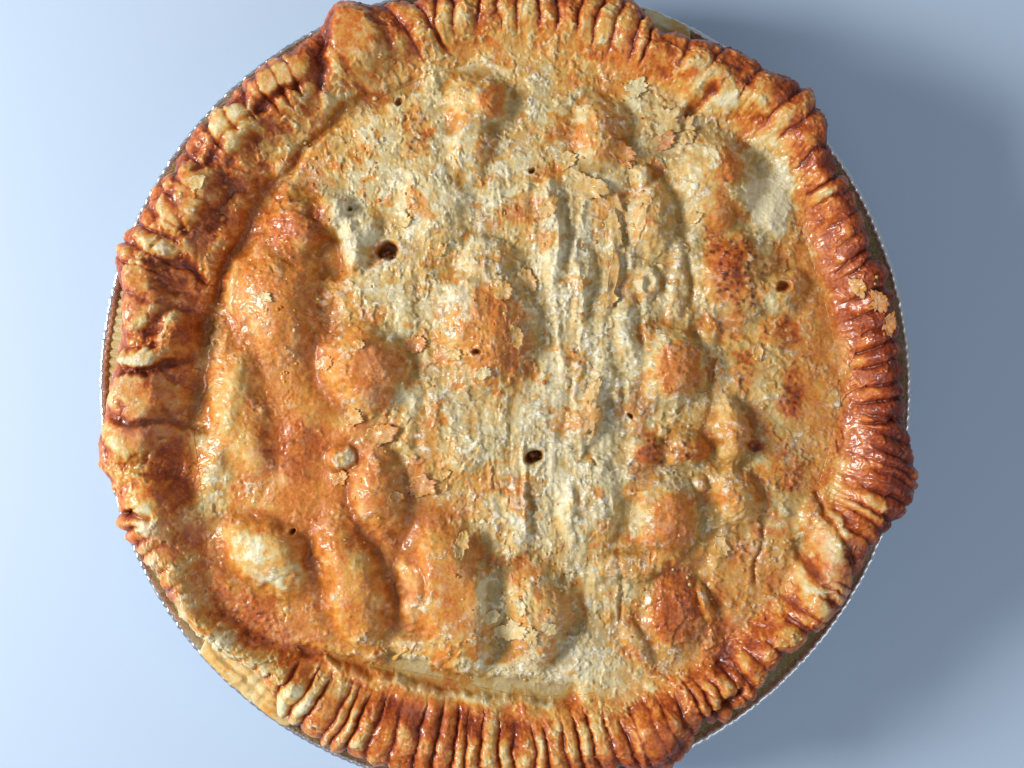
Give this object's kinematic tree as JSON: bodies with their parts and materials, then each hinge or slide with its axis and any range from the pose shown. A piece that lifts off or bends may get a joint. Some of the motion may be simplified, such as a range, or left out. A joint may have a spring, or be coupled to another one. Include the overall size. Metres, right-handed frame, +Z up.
{
  "type": "vegetable pot pie in its tin",
  "caption": "Round vegetable pot pie with a lumpy golden lid and a crimped, lobed crust rim, baked and standing in its own fluted foil tin.",
  "frame": {"origin": "middle of the tin's flat base, on the surface that it stands on", "axes": "+Z up through the lid; +X and +Y lie in the base, with the lobes of the rim at 44 and 346 degrees from +X towards +Y"},
  "size_m": [0.2312, 0.2304, 0.0507],
  "materials": {
    "foil": "thin bright foil, finely fluted, with a rolled and pleated rim",
    "baked_dough": "pale matt baked pastry, layered at its edge",
    "golden_crust": "golden brown glazed pastry, pale and flaky on the lid, darker on the crimped rim"
  },
  "bodies": {
    "root": {"foil_tin": "foil", "bottom_crust": "baked_dough", "top_crust": "golden_crust"}
  },
  "joints": []
}
